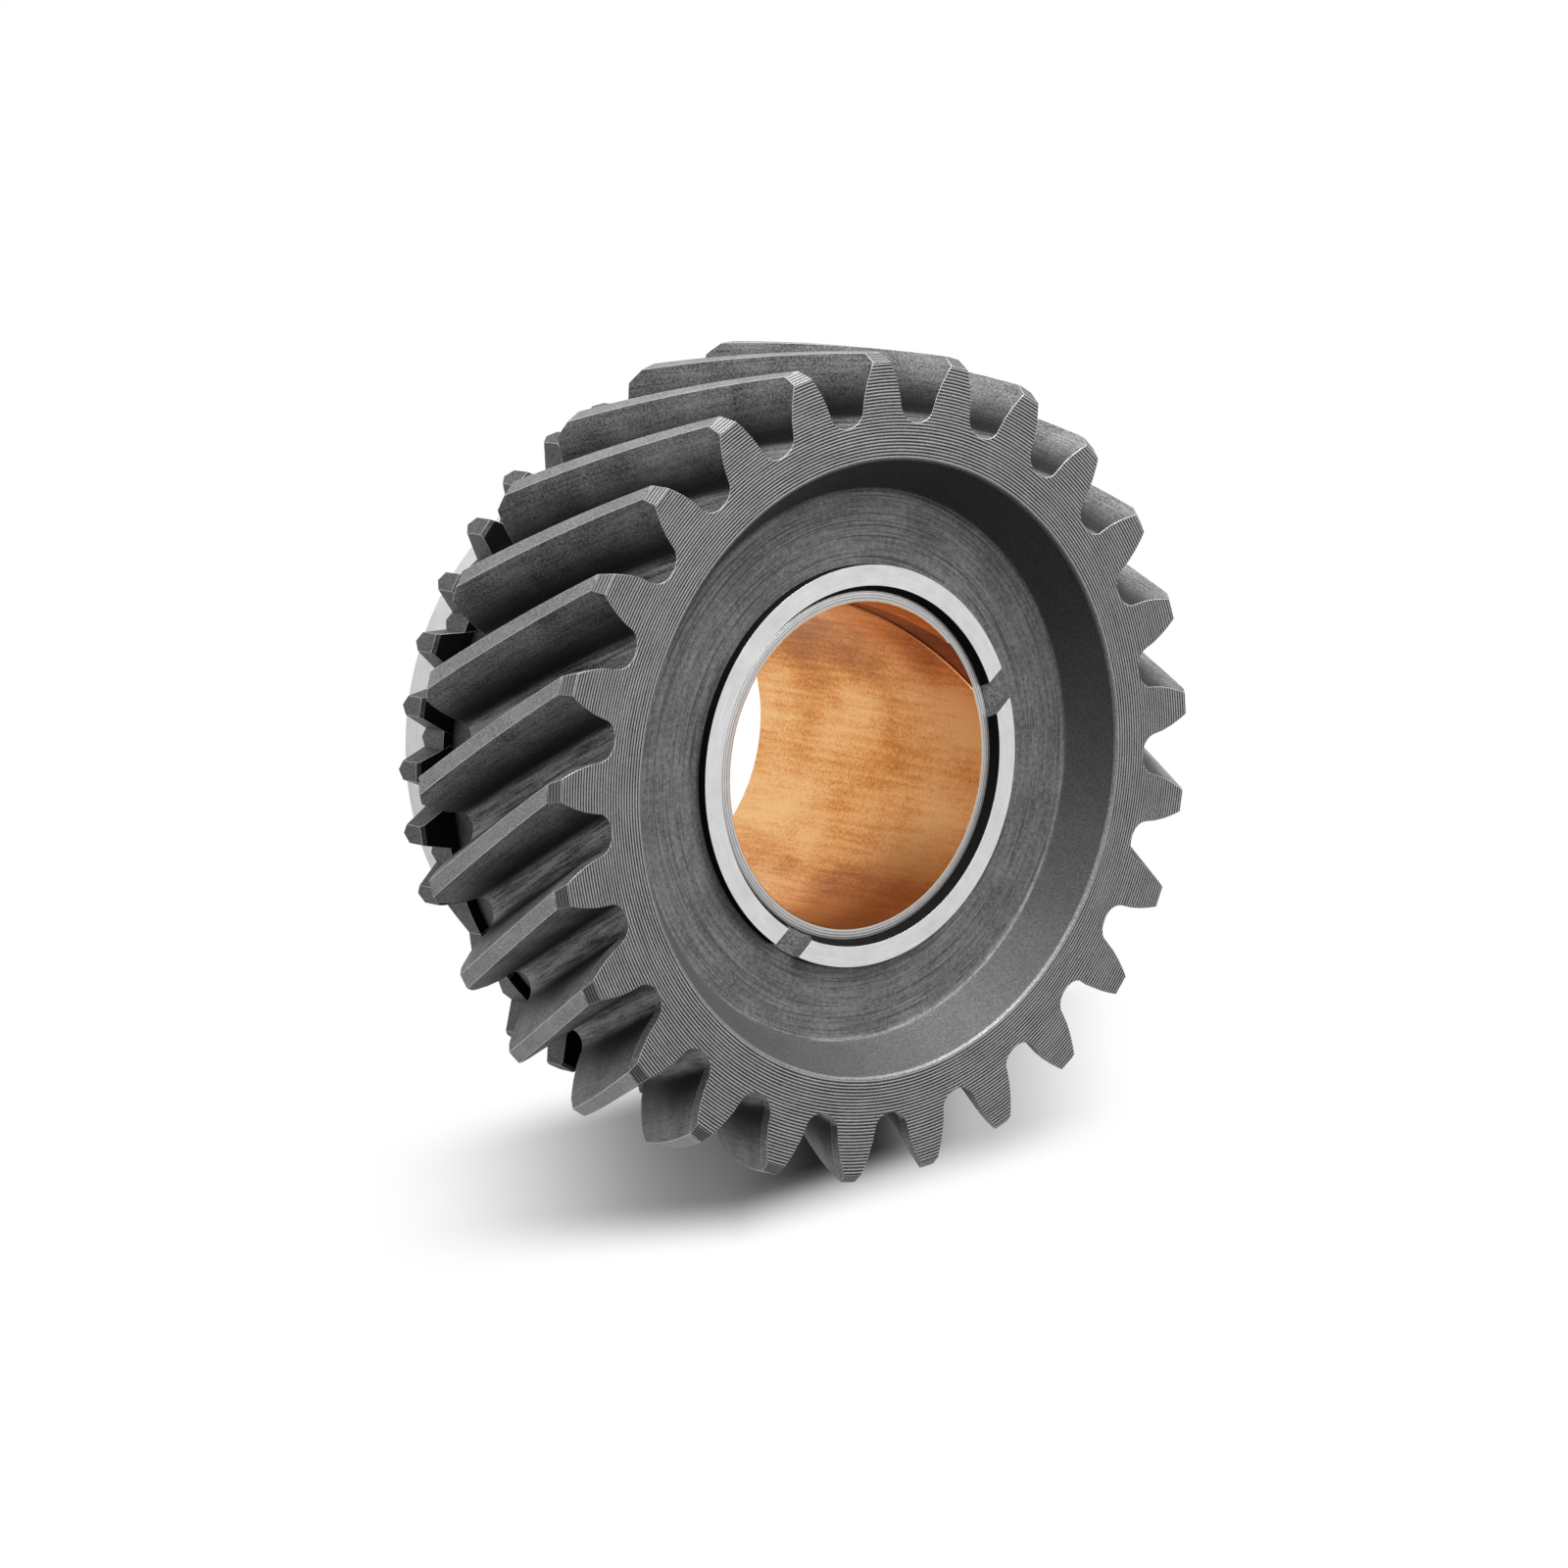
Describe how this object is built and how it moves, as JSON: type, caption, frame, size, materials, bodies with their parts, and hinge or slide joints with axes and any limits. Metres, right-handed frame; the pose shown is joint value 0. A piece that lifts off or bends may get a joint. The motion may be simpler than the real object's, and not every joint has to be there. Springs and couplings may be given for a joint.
{
  "type": "transmission gear",
  "caption": "Helical transmission gear with clutch teeth and a friction cone on one end, a recessed face with a slotted thrust ring on the other, and a bronze-lined bush in the bore.",
  "frame": {"origin": "on the bore axis, in the plane of the friction cone's end face", "axes": "+Z along the bore axis from the friction cone to the recessed face; +X through the middle of a gear tooth at the recessed face"},
  "size_m": [0.1064, 0.1064, 0.0552],
  "materials": {
    "gear_steel": "dark phosphated, machined and ground where it runs",
    "bush_steel": "bright turned",
    "bush_bronze": "fine bored bronze"
  },
  "bodies": {
    "root": {"gear": "gear_steel", "bush_backing": "bush_steel", "bush_lining": "bush_bronze"}
  },
  "joints": []
}
